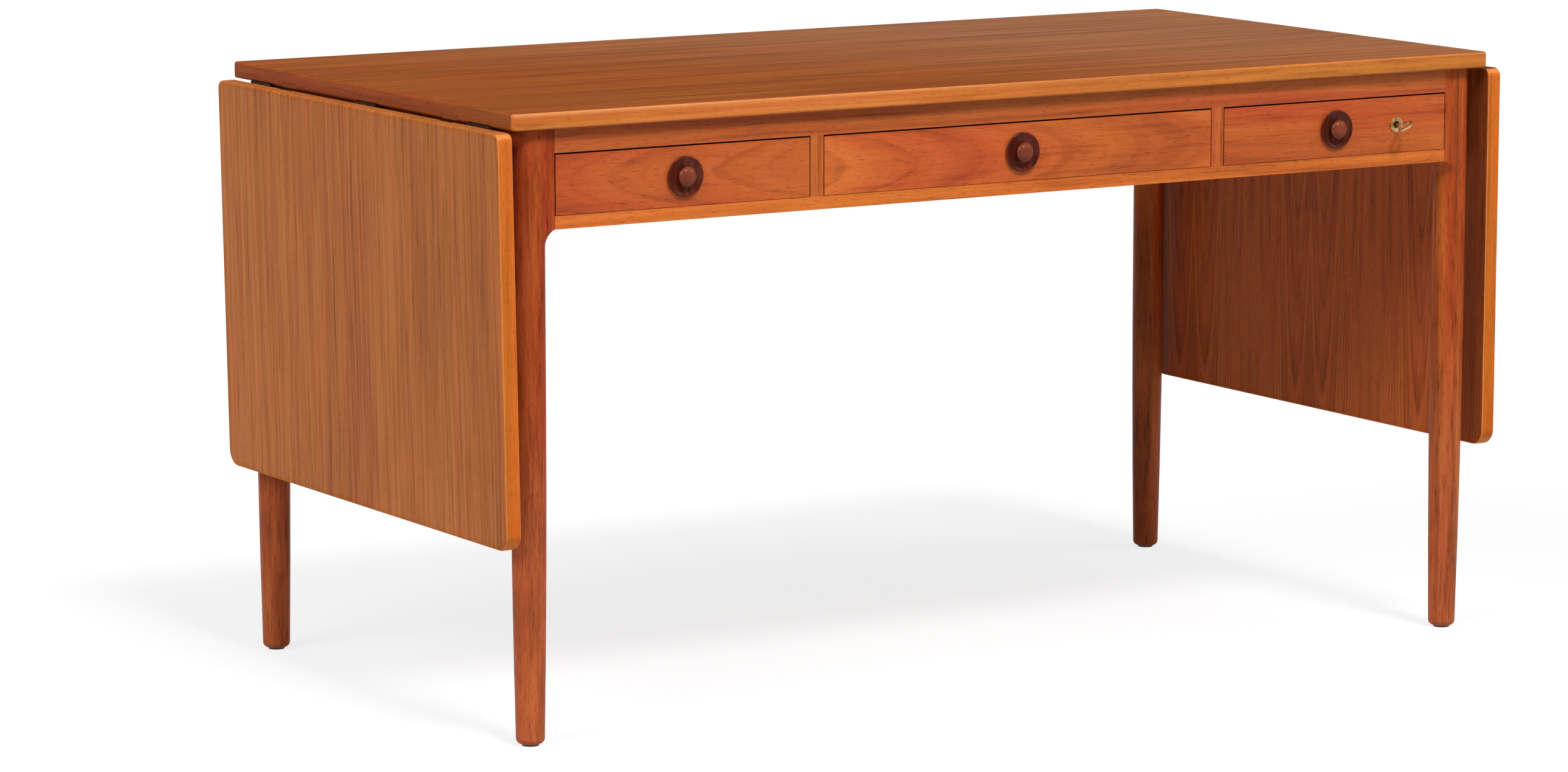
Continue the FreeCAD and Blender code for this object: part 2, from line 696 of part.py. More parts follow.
def make_lock(x, z, front_high):
    """Drawer lock let into the back of the right drawer front. Returns what the front is cut by."""
    inside = DRAWER_FRONT_THICKNESS - face_y
    case_front = inside - CASE_DEPTH
    cavity_front = case_front + CASE_WALL
    cavity_back = inside - LOCK_PLATE
    half = CASE_WIDTH / 2
    low = z - CASE_BELOW
    bolt_back = cavity_back - BOLT_FIT
    bolt_front = bolt_back - BOLT_THICKNESS
    flange_back = bolt_front - BOLT_FIT
    body = box(x - half, x + half, case_front, inside, low, front_high)
    plate = box(x - half - LOCK_PLATE_MARGIN, x + half + LOCK_PLATE_MARGIN, cavity_back, inside,
                low, front_high)
    screws = []
    for side in (-1, 1):
        for rise in (low + LOCK_SCREW_RISE, front_high - LOCK_SCREW_RISE):
            screws.append(screw(V(x + side * (half + LOCK_PLATE_MARGIN / 2), inside, rise), V(0, -1, 0),
                                LOCK_SCREW_RADIUS, LOCK_SCREW_HEAD, LOCK_SCREW_HEAD_HEIGHT,
                                LOCK_SCREW_LENGTH))
    start = math.radians(CAM_START)
    cam_x = x + CAM_RADIUS * math.cos(start)
    cam_z = z - CAM_RADIUS * math.sin(start)
    bolt_half = BOLT_WIDTH / 2
    bolt_top = front_high - BOLT_SETBACK
    yoke = CAM_PIN_RADIUS + CAM_ROOM
    bolt = box(x - bolt_half, x + bolt_half, bolt_front, bolt_back, cam_z - yoke - BOLT_FOOT, bolt_top)
    bolt = bolt.cut(box(cam_x - yoke, x + CAM_RADIUS + yoke, bolt_front, bolt_back,
                        cam_z - yoke, cam_z + yoke))
    slot = box(x - bolt_half - BOLT_FIT, x + bolt_half + BOLT_FIT, bolt_front - BOLT_FIT, cavity_back,
               low + CASE_WALL, front_high)
    cavity = box(x - half + CASE_WALL, x + half - CASE_WALL, cavity_front, cavity_back,
                 low + CASE_WALL, front_high - CASE_WALL)
    plug_front = -face_y - ESCUTCHEON_THICKNESS
    bore = rod_y(PLUG_RADIUS + PLUG_FIT, x, z, plug_front, cavity_front)
    case = fused([body, plate]).cut(group([cavity, slot, bore] + screws))
    key, keyway = make_key(x, z)
    plug = fused([
        rod_y(PLUG_RADIUS, x, z, plug_front, flange_back),
        rod_y(FLANGE_RADIUS, x, z, cavity_front + BOLT_FIT, flange_back),
        rod_y(CAM_PIN_RADIUS, cam_x, cam_z, flange_back, bolt_back),
    ]).cut(keyway)
    ring = rod_y(ESCUTCHEON_RADIUS, x, z, plug_front, -face_y).cut(bore)
    strike_middle = (bolt_front + bolt_back) / 2
    strike = box(x - STRIKE_LENGTH / 2, x + STRIKE_LENGTH / 2, strike_middle - STRIKE_WIDTH / 2,
                 strike_middle + STRIKE_WIDTH / 2, drawer_ceiling, drawer_ceiling + STRIKE_THICKNESS)
    mortise = box(x - bolt_half - BOLT_FIT, x + bolt_half + BOLT_FIT, bolt_front - BOLT_FIT,
                  bolt_back + BOLT_FIT, drawer_ceiling, drawer_ceiling + STRIKE_DEPTH)
    pieces["front_top_rail"] = pieces["front_top_rail"].cut(group([strike, mortise]))
    pieces["strike_plate"] = strike.cut(mortise)
    pieces["lock_case"] = case
    pieces["lock_bolt"] = bolt
    pieces["lock_plug"] = plug
    pieces["lock_screws"] = group(screws)
    pieces["key_escutcheon"] = ring
    pieces["key"] = key
    return [body, plate, bore] + screws


def make_key(x, z):
    """Key with an oval bow, lying in the plug, and the keyway that it slides in."""
    mouth = -face_y - ESCUTCHEON_THICKNESS
    tip = mouth + KEY_INSERTION
    reach = -face_y - KEY_REACH
    bow_centre = reach + BOW_LENGTH / 2
    outer = Part.Ellipse(V(0, 0, 0), BOW_WIDTH / 2, BOW_LENGTH / 2).toShape()
    inner = Part.Ellipse(V(0, 0, 0), BOW_WIDTH / 2 - BOW_WIRE, BOW_LENGTH / 2 - BOW_WIRE).toShape()
    bow = Part.Face(Part.Wire(outer)).cut(Part.Face(Part.Wire(inner))).extrude(V(0, 0, BOW_THICKNESS))
    bow.translate(V(x, bow_centre, z - BOW_THICKNESS / 2))
    collar_start = reach + BOW_LENGTH - BOW_WIRE / 2
    bit = box(x, x + KEY_BIT_HEIGHT, tip - KEY_BIT_LENGTH, tip,
              z - KEY_BIT_THICKNESS / 2, z + KEY_BIT_THICKNESS / 2)
    key = fused([
        bow,
        rod_y(COLLAR_RADIUS, x, z, collar_start, collar_start + COLLAR_LENGTH),
        rod_y(KEY_SHAFT_RADIUS, x, z, collar_start, tip),
        bit,
    ])
    slot_half = KEY_BIT_THICKNESS / 2 + KEY_BIT_ROOM
    keyway = fused([
        rod_y(KEY_SHAFT_RADIUS + KEY_FIT, x, z, mouth, tip + KEY_BIT_ROOM),
        box(x, x + KEY_BIT_HEIGHT + KEY_BIT_ROOM, mouth, tip + KEY_BIT_ROOM, z - slot_half, z + slot_half),
    ])
    for shape in (key, keyway):
        shape.rotate(V(x, 0, z), V(0, 1, 0), BOW_TURN)
    return key, keyway


def make_drawers():
    front_low = drawer_floor + DRAWER_BOTTOM_GAP
    front_high = drawer_ceiling - DRAWER_TOP_GAP
    lock_cuts = make_lock(seam_x - LOCK_FROM_EDGE, (front_low + front_high) / 2, front_high)
    make_drawer("left", -seam_x, -side_edge, [])
    make_drawer("centre", -centre_edge, centre_edge, [])
    make_drawer("right", side_edge, seam_x, lock_cuts)


make_rails()
make_legs()
make_inner_frame()
make_hinges()
make_lopers()
make_top()
make_leaves()
make_drawers()

os.makedirs("parts", exist_ok=True)
for name, shape in pieces.items():
    shape.exportStep(os.path.join("parts", name + ".step"))
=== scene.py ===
"""Looks of the drop-leaf teak desk: finishes, floor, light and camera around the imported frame."""

import math
from dataclasses import dataclass, replace

import bpy
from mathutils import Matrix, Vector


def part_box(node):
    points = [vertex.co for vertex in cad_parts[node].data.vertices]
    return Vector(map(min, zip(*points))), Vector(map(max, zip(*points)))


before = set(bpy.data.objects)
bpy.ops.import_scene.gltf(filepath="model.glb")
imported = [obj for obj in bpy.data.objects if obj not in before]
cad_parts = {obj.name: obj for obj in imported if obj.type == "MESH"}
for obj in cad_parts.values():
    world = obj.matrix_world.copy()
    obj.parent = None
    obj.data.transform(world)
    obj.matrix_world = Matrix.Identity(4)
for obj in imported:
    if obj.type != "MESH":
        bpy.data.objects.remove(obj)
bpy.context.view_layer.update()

# Camera, solved from the desk's own edges in the photograph: metres, degrees and millimetres
CAMERA_PLACE = (-3.669, -5.767, 1.389)
CAMERA_PITCH = 8.939
CAMERA_YAW = 31.630
CAMERA_LENS = 129.405
SENSOR_WIDTH = 36.0

# Floor: half its width, its grey as a bounce, and the grey and glow with which it is seen
FLOOR_HALF = 40.0
FLOOR_BOUNCE = (0.50, 0.50, 0.50, 1.0)
FLOOR_SHADOWED = (0.21, 0.21, 0.21, 1.0)
FLOOR_GLOW = 0.79

# World: white up to a low horizon band, grey above it
HORIZON_TOP = 0.02
SKY_START = 0.12
SKY_LEVEL = 0.25

# Lamps: direction the light comes from (degrees left of the front, degrees up), strength, width in degrees
LAMPS = {
    "key": (0.0, 55.0, 2.20, 13.0),
    "left": (72.0, 36.0, 1.45, 32.0),
    "right": (-60.0, 36.0, 0.75, 32.0),
}

# Legs and lopers are named by their corner of the desk
CORNERS = [end + "_" + side for end in ("front", "rear") for side in ("left", "right")]

# Colour curve of a screen: a straight foot, then a power
CURVE_FOOT = 0.04045
CURVE_FOOT_SLOPE = 12.92
CURVE_OFFSET = 0.055
CURVE_POWER = 2.4

# Places of the two values and of the result among a mix node's sockets
COLOUR_SOCKETS = (6, 7, 2)
NUMBER_SOCKETS = (2, 3, 0)

# Middle of a noise, and the hue that a hue node leaves as it is
NOISE_MIDDLE = 0.5
NEUTRAL_HUE = 0.5

# How squarely a face looks along its nearest axis, from a rounded edge to a flat face
ARRIS_FACING = (0.80, 0.97)

# Depth of bump in metres
WOOD_BUMP = 0.0002
METAL_BUMP = 0.00003
GLIDE_BUMP = 0.00005


def srgb(red, green, blue):
    """A colour written as it looks on screen, 0 to 255, turned into linear light."""
    values = []
    for part in (red, green, blue):
        share = part / 255
        if share <= CURVE_FOOT:
            values.append(share / CURVE_FOOT_SLOPE)
        else:
            values.append(((share + CURVE_OFFSET) / (1 + CURVE_OFFSET)) ** CURVE_POWER)
    return (*values, 1.0)


class Graph:
    """Writes one material's nodes. A number or a socket may be given for any input."""

    def __init__(self, name):
        self.material = bpy.data.materials.new(name)
        self.material.use_nodes = True
        self.tree = self.material.node_tree
        self.tree.nodes.clear()

    def node(self, kind, **settings):
        made = self.tree.nodes.new("ShaderNode" + kind)
        for key, value in settings.items():
            setattr(made, key, value)
        return made

    def feed(self, socket, value):
        if isinstance(value, bpy.types.NodeSocket):
            self.tree.links.new(value, socket)
        else:
            socket.default_value = value

    def math(self, operation, *values):
        made = self.node("Math", operation=operation)
        for socket, value in zip(made.inputs, values):
            self.feed(socket, value)
        return made.outputs[0]

    def add(self, first, second):
        return self.math("ADD", first, second)

    def minus(self, first, second):
        return self.math("SUBTRACT", first, second)

    def times(self, first, second):
        return self.math("MULTIPLY", first, second)

    def absolute(self, value):
        return self.math("ABSOLUTE", value)

    def position(self):
        """The three coordinates of a point on the piece, as the piece was at rest."""
        place = self.node("TexCoord").outputs["Object"]
        apart = self.node("SeparateXYZ")
        self.feed(apart.inputs[0], place)
        return {"x": apart.outputs[0], "y": apart.outputs[1], "z": apart.outputs[2]}

    def vector(self, x, y, z):
        made = self.node("CombineXYZ")
        for socket, value in zip(made.inputs, (x, y, z)):
            self.feed(socket, value)
        return made.outputs[0]

    def noise(self, x, y, z, detail, roughness=0.5):
        """Soft noise from 0 to 1 with one feature for each unit of x, y and z."""
        made = self.node("TexNoise", noise_dimensions="3D")
        self.feed(made.inputs["Vector"], self.vector(x, y, z))
        made.inputs["Scale"].default_value = 1.0
        made.inputs["Detail"].default_value = detail
        made.inputs["Roughness"].default_value = roughness
        return made.outputs["Fac"]

    def sliced(self, first, second, rates, depth, detail, roughness=0.5):
        """Noise over two values, at a rate for each, in one slice of the noise's space."""
        return self.noise(
            self.times(first, rates[0]), self.times(second, rates[1]), depth, detail, roughness)

    def speckle(self, place, scales, detail=3.0):
        """Noise over a piece, with so many features for each metre along x, y and z."""
        scaled = [self.times(place[letter], scale) for letter, scale in zip("xyz", scales)]
        return self.noise(*scaled, detail)

    def swing(self, noise, reach):
        """A noise turned into a swing about zero, reach wide in all."""
        return self.times(self.add(noise, -NOISE_MIDDLE), reach)

    def span(self, value, low, high, to_low=0.0, to_high=1.0):
        """Maps low..high of a value smoothly to to_low..to_high, and holds it there outside."""
        made = self.node("MapRange", interpolation_type="SMOOTHSTEP", clamp=True)
        for socket, number in zip(made.inputs, (value, low, high, to_low, to_high)):
            self.feed(socket, number)
        return made.outputs[0]

    def ramp(self, value, places, colours):
        """Colours, written as on screen, at two or three places of a value."""
        made = self.node("ValToRGB")
        elements = made.color_ramp.elements
        if len(places) > len(elements):
            elements.new(places[1])
        for element, place, colour in zip(elements, places, colours):
            element.position = place
            element.color = srgb(*colour)
        self.feed(made.inputs["Fac"], value)
        return made.outputs["Color"]

    def join(self, made, sockets, factor, first, second):
        """Feeds a mix node and gives its result."""
        self.feed(made.inputs["Factor"], factor)
        self.feed(made.inputs[sockets[0]], first)
        self.feed(made.inputs[sockets[1]], second)
        return made.outputs[sockets[2]]

    def mix(self, factor, first, second, blend="MIX"):
        """Two colours, mixed by a factor."""
        made = self.node("Mix", data_type="RGBA", blend_type=blend)
        return self.join(made, COLOUR_SOCKETS, factor, first, second)

    def choose(self, factor, first, second):
        """Two numbers, mixed by a factor."""
        made = self.node("Mix", data_type="FLOAT")
        return self.join(made, NUMBER_SOCKETS, factor, first, second)

    def blend(self, factor, first, second):
        """One figure where the factor is 0 and another where it is 1."""
        colour = self.mix(factor, first[0], second[0])
        return (colour, *[self.choose(factor, *pair) for pair in zip(first[1:], second[1:])])

    def facing(self, axis):
        """How far a face looks along an axis of the piece, from -1 to 1."""
        apart = self.node("SeparateXYZ")
        self.feed(apart.inputs[0], self.node("TexCoord").outputs["Normal"])
        return apart.outputs["xyz".index(axis)]

    def arris(self):
        """1 on the rounded edges of a piece, 0 on its flat faces."""
        most = 0.0
        for axis in "xyz":
            most = self.math("MAXIMUM", most, self.absolute(self.facing(axis)))
        return self.span(most, *ARRIS_FACING, 1.0, 0.0)

    def shade(self, colour, factor):
        """A colour times a factor from 0 to 1."""
        return self.mix(1.0, colour, self.vector(factor, factor, factor), blend="MULTIPLY")

    def turn_hue(self, colour, share):
        """Turns a colour's hue by a share of the whole circle."""
        made = self.node("HueSaturation")
        self.feed(made.inputs["Hue"], self.add(share, NEUTRAL_HUE))
        self.feed(made.inputs["Color"], colour)
        return made.outputs[0]

    def surface(self, colour, height, roughness, depth=WOOD_BUMP, metallic=0.0, specular=0.5):
        """The one shader of a material, with bump from a height, if there is one, in units of depth."""
        shader = self.node("BsdfPrincipled")
        self.feed(shader.inputs["Base Color"], colour)
        self.feed(shader.inputs["Roughness"], roughness)
        self.feed(shader.inputs["Metallic"], metallic)
        shader.inputs["Specular IOR Level"].default_value = specular
        if height is not None:
            bump = self.node("Bump")
            bump.inputs["Strength"].default_value = 1.0
            bump.inputs["Distance"].default_value = depth
            self.feed(bump.inputs["Height"], height)
            self.feed(shader.inputs["Normal"], bump.outputs[0])
        output = self.node("OutputMaterial")
        self.feed(output.inputs["Surface"], shader.outputs[0])
        return self.material


@dataclass(frozen=True)
class Wood:
    """How one board was cut and finished, with the shade and highlight painted on its edges. Lengths are in
    metres, colours as on screen.
    """
    # Axes of the piece that run along, across and through the board
    grain: str = "xyz"
    light: tuple = (205, 125, 65)
    middle: tuple = (180, 95, 45)
    dark: tuple = (120, 58, 28)
    # Heart of the tree: its place across and through the board, and its climb along it
    heart_across: float = 1.4
    heart_through: float = 0.0
    heart_slope: float = 0.0
    # Width of a ring, changes of its bands for each metre along, and how far it wanders sideways
    ring: float = 0.006
    run: float = 1.1
    wander: float = 0.010
    # Strength of the bands and of the thin late-wood lines, and the width of those lines
    band: float = 0.60
    line: float = 0.40
    line_width: float = 0.030
    # Arches: their strength, their shift in rings, and where along the board they die out
    arch: float = 0.0
    arch_phase: float = 0.0
    arch_span: tuple = (10.0, 11.0)
    # Strength of dark streaks, and how many of them each metre holds along and across
    streak: float = 0.20
    streak_scale: tuple = (7.0, 150.0)
    # Strength of the fibres, the pores, the slow drift of tone and the turn of hue
    fibre: float = 0.30
    pore: float = 0.40
    drift: float = 0.35
    blush: float = 0.04
    # Painted shade on the faces in a gap, strength of the painted highlight on rounded edges, and polish
    side_shade: float = 1.0
    arris: float = 0.0
    roughness: float = 0.42
    specular: float = 0.15


# Noise drawn out along a board: features for each metre along it and across it, and its detail
SWAY_GRAIN = (1.7, 2.5, 1.0)
DRIFT_GRAIN = (1.6, 9.0, 2.0)
FIBRE_GRAIN = (28.0, 900.0, 2.0)
PORE_GRAIN = (110.0, 900.0, 1.0)
BREAK_GRAIN = (6.0, 30.0, 1.0)
STREAK_DETAIL = 3.0

# Noise over the rings and along the board
BAND_RATE = 0.55
BAND_NOISE = {"depth": 3.1, "detail": 4.0, "roughness": 0.62}
SEAM_NOISE = {"rates": (1.3, 1.6), "depth": 8.7, "detail": 1.0}
TINT_NOISE = {"rates": (0.4, 1.5), "depth": 21.3, "detail": 3.0}

# Arches: the noise that makes them waver and wear, how far it does, and the two sides of their lines
ARCH_WAVER = {"rates": (22.0, 60.0), "depth": 5.5, "detail": 4.0, "roughness": 0.6}
ARCH_WAVER_REACH = 0.45
ARCH_WEAR = {"rates": (14.0, 70.0), "depth": 12.5, "detail": 2.0}
ARCH_WEAR_SPAN = (0.30, 0.62)
ARCH_WORN = 0.35
ARCH_SOFTNESS = 4.0
ARCH_CREST = 0.92

# Spans of noise that show as streaks, unbroken lines and pores, and what they do to the surface
TONE_STOPS = (0.05, 0.5, 0.95)
BAND_GAIN = 2.2
STREAK_SPAN = (0.50, 0.72)
BREAK_SPAN = (0.35, 0.62)
PORE_SPAN = (0.60, 0.74)
PORE_DARK = 0.62
FIBRE_HEIGHT = 0.5
PORE_HEIGHT = -0.8
FIBRE_ROUGHNESS = 0.16
PORE_ROUGHNESS = 0.12
SIDE_FACING = (0.4, 0.7)


def grain(graph, spot, along_rate, across_rate, detail):
    """Noise drawn out along a board, at a spot given along, across and through it."""
    along, across, through = spot
    return graph.noise(
        graph.times(along, along_rate), graph.times(across, across_rate),
        graph.times(through, across_rate), detail)


def ring_number(graph, spot, wood):
    """How many rings a spot lies from the heart of its tree."""
    along, across, through = spot
    sway = graph.swing(grain(graph, spot, *SWAY_GRAIN), 2 * wood.wander)
    side = graph.add(graph.add(across, -wood.heart_across), sway)
    drop = graph.add(graph.add(through, -wood.heart_through), graph.times(along, wood.heart_slope))
    reach = graph.math("SQRT", graph.add(graph.times(side, side), graph.times(drop, drop)))
    return graph.times(reach, 1 / wood.ring)


def wood_colour(graph, spot, ring, fibre, wood):
    """Colour from the bands, a slow drift, the fibres and the streaks."""
    bands = graph.sliced(ring, spot[0], rates=(BAND_RATE, wood.run), **BAND_NOISE)
    tint = graph.sliced(ring, spot[0], **TINT_NOISE)
    streaks = graph.span(grain(graph, spot, *wood.streak_scale, STREAK_DETAIL), *STREAK_SPAN)
    tone = graph.add(graph.swing(bands, BAND_GAIN * wood.band), NOISE_MIDDLE)
    tone = graph.add(tone, graph.swing(grain(graph, spot, *DRIFT_GRAIN), wood.drift))
    tone = graph.add(tone, graph.swing(fibre, wood.fibre))
    tone = graph.add(tone, graph.times(streaks, -wood.streak))
    colour = graph.ramp(tone, TONE_STOPS, (wood.dark, wood.middle, wood.light))
    return graph.turn_hue(colour, graph.swing(tint, wood.blush))


def arch_lines(graph, spot, ring, wood):
    """Late wood of wide growth rings: broken dark lines with one soft and one sharper side."""
    along, across, _ = spot
    waver = graph.sliced(along, across, **ARCH_WAVER)
    place = graph.add(graph.add(ring, wood.arch_phase), graph.swing(waver, ARCH_WAVER_REACH))
    share = graph.math("FRACT", place)
    soft_side = graph.math("POWER", share, ARCH_SOFTNESS)
    line = graph.times(soft_side, graph.span(share, ARCH_CREST, 1.0, 1.0, 0.0))
    wear = graph.sliced(along, across, **ARCH_WEAR)
    line = graph.times(line, graph.span(wear, *ARCH_WEAR_SPAN, ARCH_WORN, 1.0))
    return graph.times(line, graph.span(along, *wood.arch_span, wood.arch, 0.0))


def late_wood(graph, spot, ring, wood):
    """Share of dark late wood: thin broken lines along the rings, and arches if the board has them."""
    seams = graph.sliced(ring, spot[0], **SEAM_NOISE)
    from_seam = graph.absolute(graph.add(seams, -NOISE_MIDDLE))
    lines = graph.span(from_seam, 0.0, wood.line_width, wood.line, 0.0)
    lines = graph.times(lines, graph.span(grain(graph, spot, *BREAK_GRAIN), *BREAK_SPAN))
    if not wood.arch:
        return lines
    return graph.math("MAXIMUM", lines, arch_lines(graph, spot, ring, wood))


def wood_figure(graph, along, across, through, wood):
    """Colour, fibre height and roughness of a board, from rings around the heart of its tree."""
    spot = (along, across, through)
    ring = ring_number(graph, spot, wood)
    fibre = grain(graph, spot, *FIBRE_GRAIN)
    pit = graph.span(grain(graph, spot, *PORE_GRAIN), *PORE_SPAN)
    colour = wood_colour(graph, spot, ring, fibre, wood)
    colour = graph.mix(late_wood(graph, spot, ring, wood), colour, srgb(*wood.dark))
    pit_colour = srgb(*[PORE_DARK * part for part in wood.dark])
    colour = graph.mix(graph.times(pit, wood.pore), colour, pit_colour)
    height = graph.add(graph.times(fibre, FIBRE_HEIGHT), graph.times(pit, PORE_HEIGHT))
    roughness = graph.add(wood.roughness, graph.swing(fibre, FIBRE_ROUGHNESS))
    roughness = graph.add(roughness, graph.times(pit, PORE_ROUGHNESS))
    return colour, height, roughness


def board_figure(graph, place, wood):
    """Figure of a board whose grain follows the axes of its piece."""
    return wood_figure(graph, *[place[letter] for letter in wood.grain], wood)


def wood_material(name, wood):
    """A board's finish, with painted shade on the faces that don't look along its thickness, as in a narrow
    gap.
    """
    graph = Graph(name)
    colour, height, roughness = board_figure(graph, graph.position(), wood)
    if wood.side_shade < 1.0:
        facing = graph.absolute(graph.facing(wood.grain[2]))
        colour = graph.shade(colour, graph.span(facing, *SIDE_FACING, wood.side_shade, 1.0))
    return graph.surface(colour, height, roughness, specular=wood.specular)


# Frame: rails, apron and the partitions that show as posts between the drawers
# Painted shade: the share to which faces of the top rail, the posts and the drawer fronts that look into the
# gaps are darkened
PAINTED_GAP_SHADE = 0.50
FRAME_TEAK = Wood(grain="xzy", light=(212, 116, 52), middle=(192, 96, 44), dark=(138, 58, 24))
TOP_RAIL_TEAK = replace(FRAME_TEAK, light=(204, 112, 50), middle=(184, 92, 42), side_shade=PAINTED_GAP_SHADE)
LOW_RAIL_TEAK = replace(FRAME_TEAK, light=(230, 132, 58), middle=(210, 108, 42), dark=(150, 68, 24))
END_RAIL_TEAK = replace(FRAME_TEAK, grain="yzx")
POST_TEAK = replace(FRAME_TEAK, grain="zxy", side_shade=PAINTED_GAP_SHADE)

# Top: plain veneer at the front left, paler and greyer veneer at the back right as a painted sheen, and
# where one turns into the other
TOP_TEAK = Wood(
    light=(173, 95, 27), middle=(149, 74, 14), dark=(112, 53, 11), run=1.8, band=0.75, streak=0.26,
    streak_scale=(3.0, 200.0), drift=0.5, blush=0.025, roughness=0.50, specular=0.04)
SHEEN_TEAK = replace(TOP_TEAK, light=(176, 117, 76), middle=(154, 97, 60), dark=(118, 70, 42))
SHEEN_SPAN = (-0.5, 0.6)
SHEEN_SLANT = 1.2

# Legs: the wood of the foot below the first height, and of the leg above the second
LEG_TEAK = Wood(
    grain="zxy", light=(196, 96, 43), middle=(170, 74, 31), dark=(111, 44, 20), heart_across=0.09, run=5.0,
    band=0.70, streak=0.26, streak_scale=(30.0, 300.0), specular=0.08)
LEG_FOOT_TEAK = replace(LEG_TEAK, light=(203, 112, 61), middle=(177, 89, 48), dark=(117, 55, 32))
FOOT_SPAN = (0.20, 0.45)

# Drawer fronts: one board each
DRAWER_TEAK = Wood(
    grain="xzy", light=(214, 114, 50), middle=(193, 92, 42), dark=(134, 52, 24), ring=0.007, wander=0.004,
    line=0.2, arch=0.70, streak=0.12, side_shade=PAINTED_GAP_SHADE)
DRAWER_FIGURES = {
    "left": replace(
        DRAWER_TEAK, light=(209, 111, 49), middle=(188, 89, 41), heart_across=0.640, heart_through=-0.434,
        heart_slope=-0.05, arch_phase=0.47),
    "centre": replace(
        DRAWER_TEAK, light=(220, 121, 54), middle=(201, 98, 44), heart_across=0.632, heart_through=-0.470,
        heart_slope=0.0737, arch_phase=0.863, arch_span=(-0.16, 0.02)),
    "right": replace(
        DRAWER_TEAK, light=(208, 108, 48), middle=(186, 86, 38), heart_across=0.590, heart_through=-0.400,
        heart_slope=0.02, arch=0.25, streak=0.3),
}

# Leaves: straight veneer outside, and inside crown veneer laid as mirrored pages, darkened at its ends by
# painted shade
LEAF_TEAK = Wood(
    grain="zyx", light=(211, 129, 70), middle=(188, 108, 52), dark=(140, 73, 33), ring=0.0032, run=3.0,
    wander=0.004, band=0.50, line_width=0.045, streak=0.34, streak_scale=(5.0, 330.0), pore=0.25,
    drift=0.60, blush=0.03, specular=0.06)
INNER_TEAK = Wood(
    light=(220, 124, 64), middle=(196, 98, 46), dark=(106, 44, 20), heart_across=0.028, ring=0.0046, run=3.0,
    wander=0.002, band=0.5, line=0.12, arch=0.8, arch_phase=0.413, streak=0.12, streak_scale=(6.0, 350.0),
    blush=0.015, specular=0.06)
INNER_END_SHADE_SPAN = (0.017, 0.034)
INNER_END_PAINTED_SHADE = 0.42
INNER_HEART_DEPTH = 0.050
INNER_HEART_SLOPE = -0.042
BOOK_WIDTH = 0.1285
BOOK_SEAM = 0.0065

# Lippings: solid edges of the top and the leaves, with a painted highlight on their arrises
LIPPING_TEAK = Wood(
    grain="xzy", light=(228, 148, 68), middle=(206, 118, 44), dark=(154, 76, 26), heart_across=0.9,
    ring=0.005, line=0.3, roughness=0.40, specular=0.2, arris=0.35)
END_LIPPING_TEAK = replace(
    LIPPING_TEAK, grain="yzx", light=(178, 100, 44), middle=(154, 80, 32), dark=(108, 52, 20), arris=0.0,
    specular=0.04)
LEAF_LIPPING_TEAK = replace(LIPPING_TEAK, light=(228, 128, 54), middle=(211, 104, 40), specular=0.02)
# Painted highlight on the lippings: its colour, its depth below the top edge, and its fade along the desk
ARRIS_HIGHLIGHT_COLOUR = (240, 172, 108)
HIGHLIGHT_DEPTH = (0.0026, 0.0065)
HIGHLIGHT_REACH = (-0.60, 0.45)
LEAF_LIPPING_WIDTH = 0.0062
LEAF_HINGE_BAND = 0.010
TOP_VENEER_FACING = (0.80, 0.88)
LEAF_VENEER_FACING = (0.72, 0.80)

# Knobs: dark wood, with a painted highlight making it paler from the neck of the button to its rim
ROSEWOOD = Wood(
    grain="zxy", light=(124, 50, 29), middle=(90, 32, 18), dark=(42, 15, 9), heart_across=0.5, ring=0.003,
    roughness=0.20, specular=0.12, pore=0.5)
ROSEWOOD_HIGHLIGHT_COLOUR = (164, 84, 56)
BUTTON_SPAN = (0.0068, 0.0084)
BUTTON_HIGHLIGHT_SHARE = 0.34

# Inside of the desk: drawer linings, and the runners and guides that carry the drawers
DRAWER_WOOD = Wood(
    grain="yzx", light=(226, 190, 138), middle=(206, 164, 108), dark=(164, 118, 70), ring=0.005,
    roughness=0.55)
DRAWER_BACK_WOOD = replace(DRAWER_WOOD, grain="xzy")
INNER_WOOD = replace(DRAWER_WOOD, light=(214, 176, 124), middle=(192, 148, 96), dark=(150, 106, 64))


def top_figure(graph, place):
    """The top's veneer, with a painted sheen making it paler towards the back right corner."""
    corner = graph.add(place["x"], graph.times(place["y"], SHEEN_SLANT))
    share = graph.span(corner, *SHEEN_SPAN)
    plain = board_figure(graph, place, TOP_TEAK)
    sheened = board_figure(graph, place, SHEEN_TEAK)
    return graph.blend(share, plain, sheened)


def top_material(name):
    graph = Graph(name)
    return graph.surface(*top_figure(graph, graph.position()), specular=TOP_TEAK.specular)


def leg_material(name):
    """A leg's wood, paler towards the floor."""
    graph = Graph(name)
    place = graph.position()
    pale = graph.span(place["z"], *FOOT_SPAN, 1.0, 0.0)
    upper = board_figure(graph, place, LEG_TEAK)
    lower = board_figure(graph, place, LEG_FOOT_TEAK)
    return graph.surface(*graph.blend(pale, upper, lower), specular=LEG_TEAK.specular)


